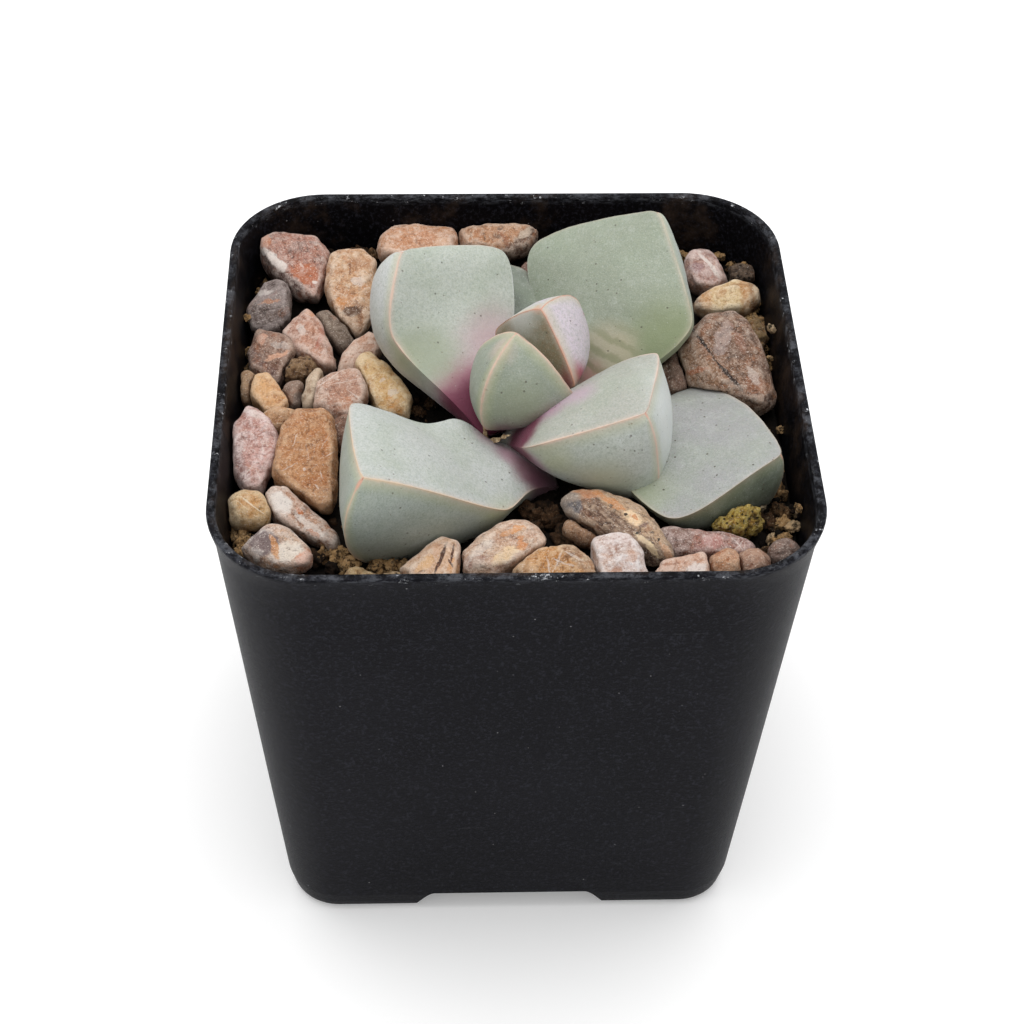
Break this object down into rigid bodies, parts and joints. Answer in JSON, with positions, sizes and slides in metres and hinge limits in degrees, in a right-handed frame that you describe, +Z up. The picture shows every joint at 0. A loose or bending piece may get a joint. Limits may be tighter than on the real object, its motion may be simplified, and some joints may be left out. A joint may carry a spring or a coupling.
{
  "type": "potted lapidaria",
  "caption": "Small succulent of paired, thick, keeled grey-green leaves in a square black plastic nursery pot with a gravel top dressing.",
  "frame": {"origin": "bottom centre of the bounding box, on the surface that the pot stands on", "axes": "+Z up, +X to the right and -Y to the front, square with the pot's sides"},
  "size_m": [0.064, 0.064, 0.0725],
  "materials": {
    "pot": "moulded black plastic, satin, lightly scuffed",
    "soil": "gritty mineral mix",
    "stem": "dry corky stem",
    "leaf": "waxy bloom, matte, with fine pink margins",
    "stone": "tumbled river gravel"
  },
  "bodies": {
    "root": {"leaf_centre_front": "leaf", "leaf_centre_back": "leaf", "leaf_upper_left": "leaf", "leaf_lower_right": "leaf", "leaf_upper_right": "leaf", "leaf_lower_left": "leaf", "leaf_outer_right": "leaf", "leaf_outer_back": "leaf", "stem": "stem", "stone_orange_big": "stone", "stone_brown_large": "stone", "stone_striped_big": "stone", "stone_tan_tall": "stone", "stone_mauve_tall": "stone", "stone_redbrown": "stone", "stone_cream_long": "stone", "stone_pink_angular": "stone", "stone_orange_back": "stone", "stone_brown_back": "stone", "stone_tan_front": "stone", "stone_veined": "stone", "stone_orange_front": "stone", "stone_mauve_long": "stone", "stone_diagonal_left": "stone", "stone_cream_block": "stone", "stone_grey_front": "stone", "stone_pink_right": "stone", "stone_cracked_peach": "stone", "stone_orangetan": "stone", "stone_white_block": "stone", "stone_greypurple": "stone", "stone_brownpink": "stone", "stone_grey_slim": "stone", "stone_tan_corner": "stone", "stone_pinktan_small": "stone", "stone_dark_right": "stone", "stone_cream_small": "stone", "stone_yellow_grain": "stone", "stone_yellow_round": "stone", "stone_orange_small": "stone", "stone_pink_corner": "stone", "stone_grey_corner": "stone", "stone_dark_small": "stone", "stone_dark_back": "stone", "stone_brown_slim": "stone", "stone_tan_behind": "stone", "stone_rose_behind": "stone", "stone_grey_behind": "stone", "stone_tan_under": "stone", "stone_brown_wall": "stone", "stone_cream_gap": "stone", "stone_rose_gap": "stone", "stone_tan_wall": "stone", "stone_brown_gap": "stone", "stone_tan_grit": "stone", "stone_dark_grit": "stone", "stone_pale_grit": "stone", "stone_greybrown_wall": "stone", "soil": "soil", "pot": "pot"}
  },
  "joints": []
}
